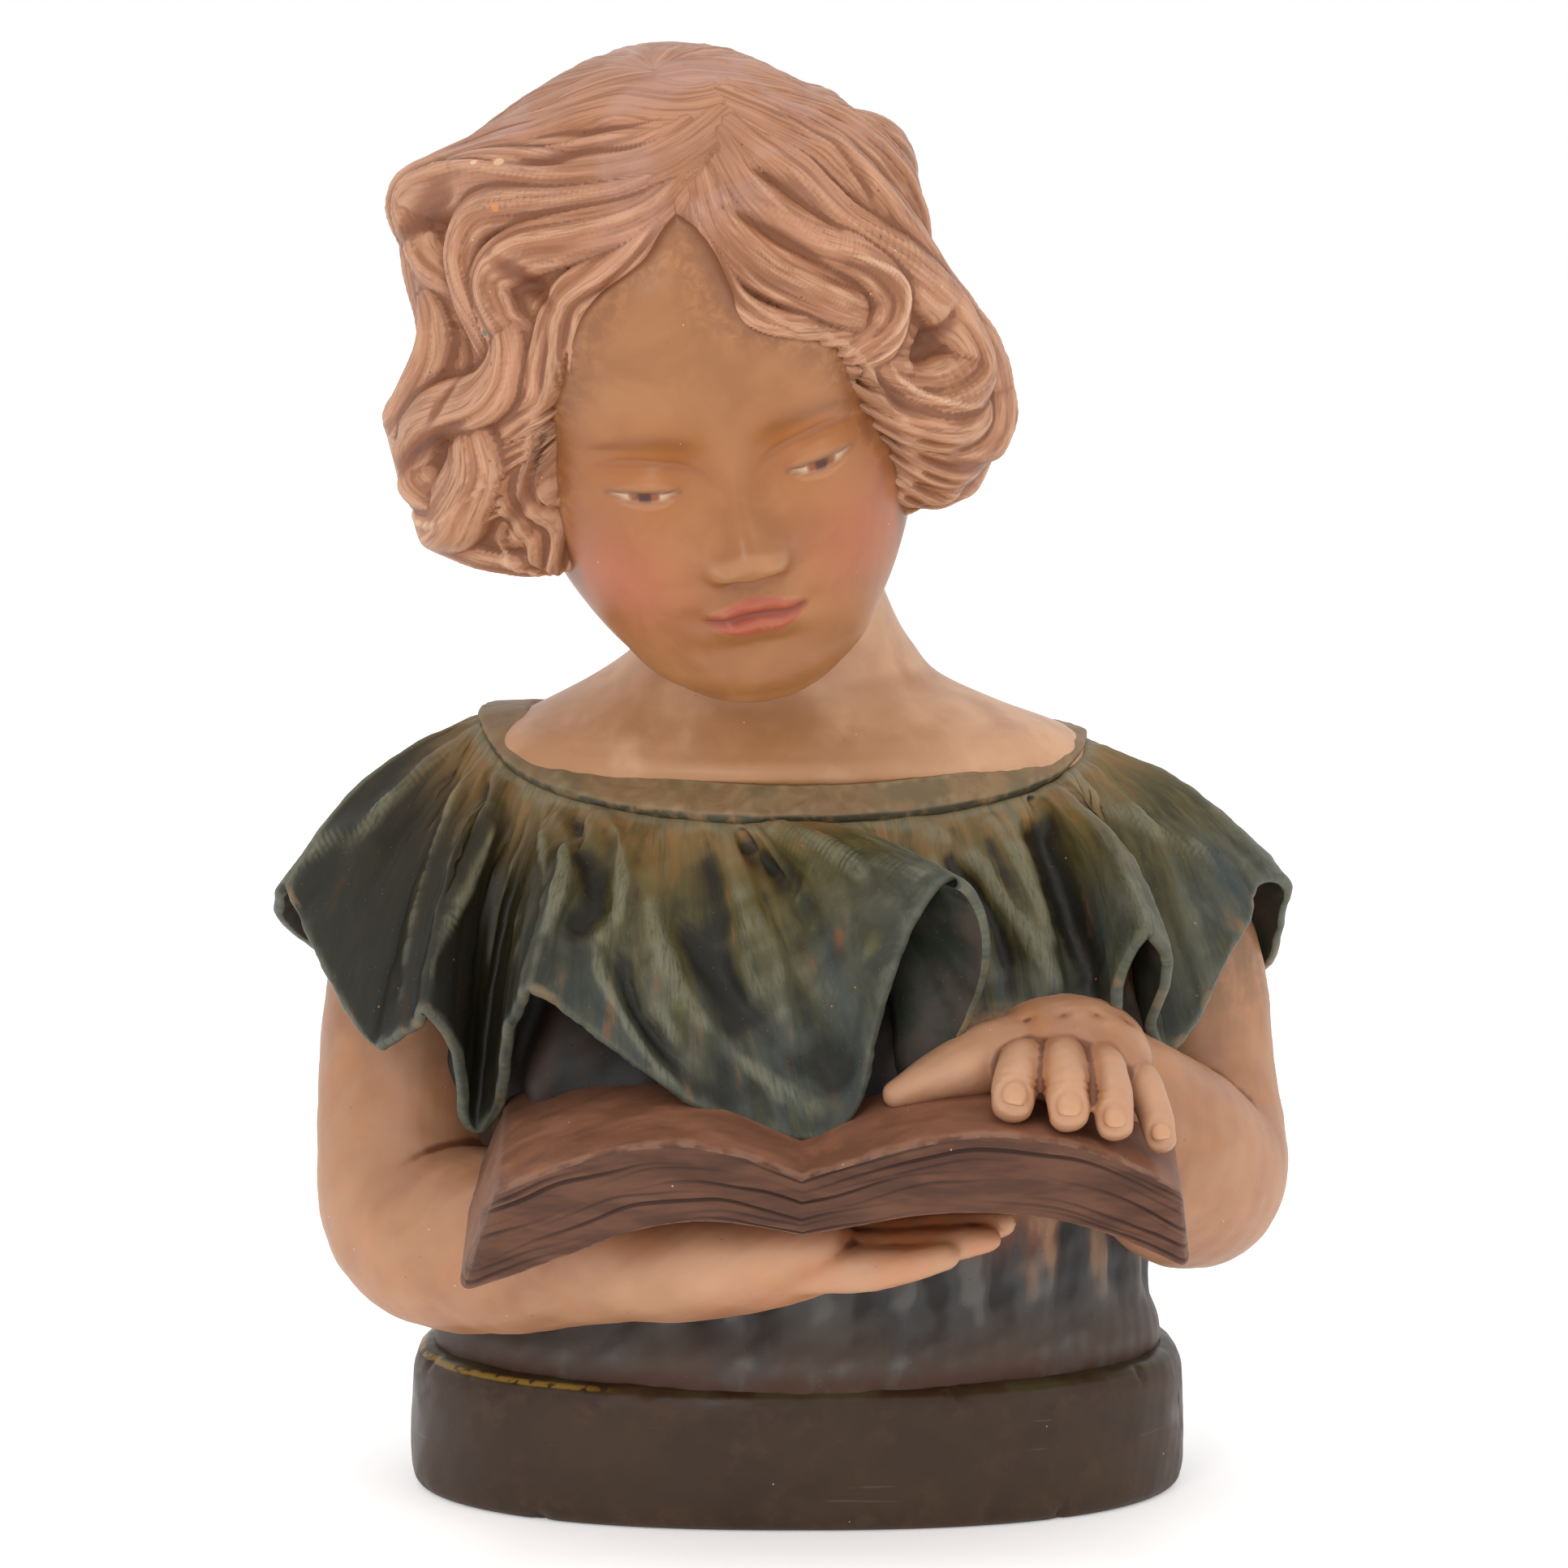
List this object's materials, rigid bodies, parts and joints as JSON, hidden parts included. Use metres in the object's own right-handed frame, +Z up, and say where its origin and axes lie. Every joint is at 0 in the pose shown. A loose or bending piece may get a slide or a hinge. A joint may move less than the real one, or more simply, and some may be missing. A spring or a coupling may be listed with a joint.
{
  "type": "plaster bust of a reading child",
  "caption": "Painted plaster bust of a child bent over an open book, cast in one with its low oval plinth; stands on its flat underside.",
  "frame": {"origin": "middle of the flat underside of the plinth", "axes": "+Z up through the head, the figure faces -Y, +X to the viewer's right"},
  "size_m": [0.2738, 0.205, 0.3936],
  "materials": {
    "painted_plaster": "oil-painted plaster, satin, with worn and rubbed patina"
  },
  "bodies": {
    "root": {"reading_child": "painted_plaster"}
  },
  "joints": []
}
